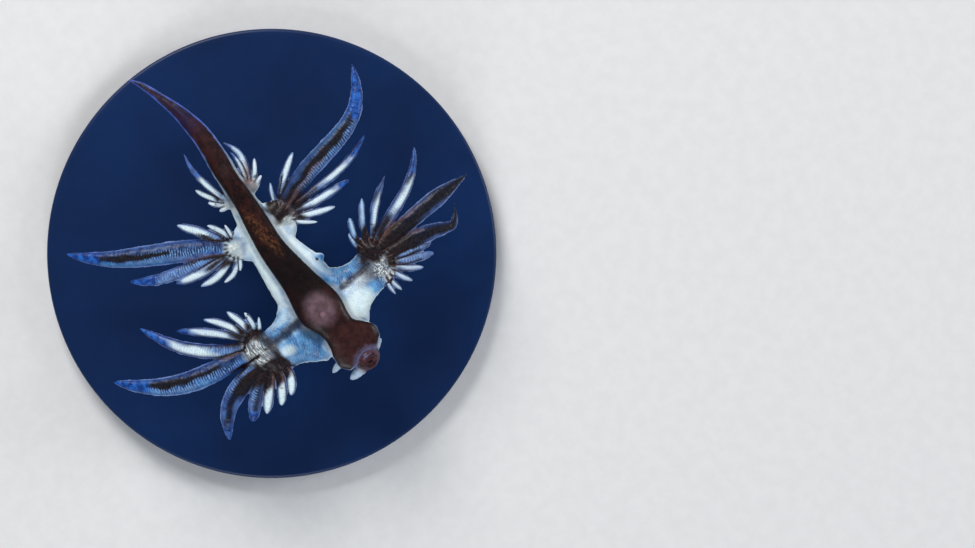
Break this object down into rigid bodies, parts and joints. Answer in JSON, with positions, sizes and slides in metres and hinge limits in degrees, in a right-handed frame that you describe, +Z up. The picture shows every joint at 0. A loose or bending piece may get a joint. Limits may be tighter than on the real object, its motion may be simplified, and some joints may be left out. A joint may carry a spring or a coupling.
{
  "type": "blue dragon sea slug model",
  "caption": "Life-size still model of a blue dragon sea slug, belly up with its finger fans spread, held on rods over a round flat display base.",
  "frame": {"origin": "centre of the stand base's underside, on the table", "axes": "+X towards the slug's head, +Y towards its own right side, +Z up from the table; the slug floats belly up, so its foot faces +Z and its back faces -Z"},
  "size_m": [0.048, 0.048, 0.014],
  "materials": {
    "tail_skin": "wet gloss",
    "body_skin": "wet gloss",
    "foot_sole": "wet gloss",
    "head_skin": "wet gloss",
    "feeler_skin": "wet gloss",
    "arm_skin": "wet gloss",
    "cerata_skin": "wet gloss",
    "base_lacquer": "satin lacquer",
    "rod_steel": "brushed"
  },
  "bodies": {
    "root": {"tail_tip": "tail_skin", "tail_mid": "tail_skin", "tail_base": "tail_skin", "body_rear": "body_skin", "body_mid": "body_skin", "body_front": "body_skin", "foot_rear": "foot_sole", "foot_mid": "foot_sole", "foot_front": "foot_sole", "head": "head_skin", "oral_tentacle_left": "feeler_skin", "oral_tentacle_right": "feeler_skin", "rhinophore_left": "feeler_skin", "rhinophore_right": "feeler_skin", "arm_front_left": "arm_skin", "arm_front_right": "arm_skin", "cerata_front_left": "cerata_skin", "cerata_front_right": "cerata_skin", "cerata_mid_left": "cerata_skin", "cerata_mid_right": "cerata_skin", "cerata_hind_left": "cerata_skin", "cerata_hind_right": "cerata_skin", "stand_base": "base_lacquer", "stand_rod_front": "rod_steel", "stand_rod_rear": "rod_steel"}
  },
  "joints": []
}
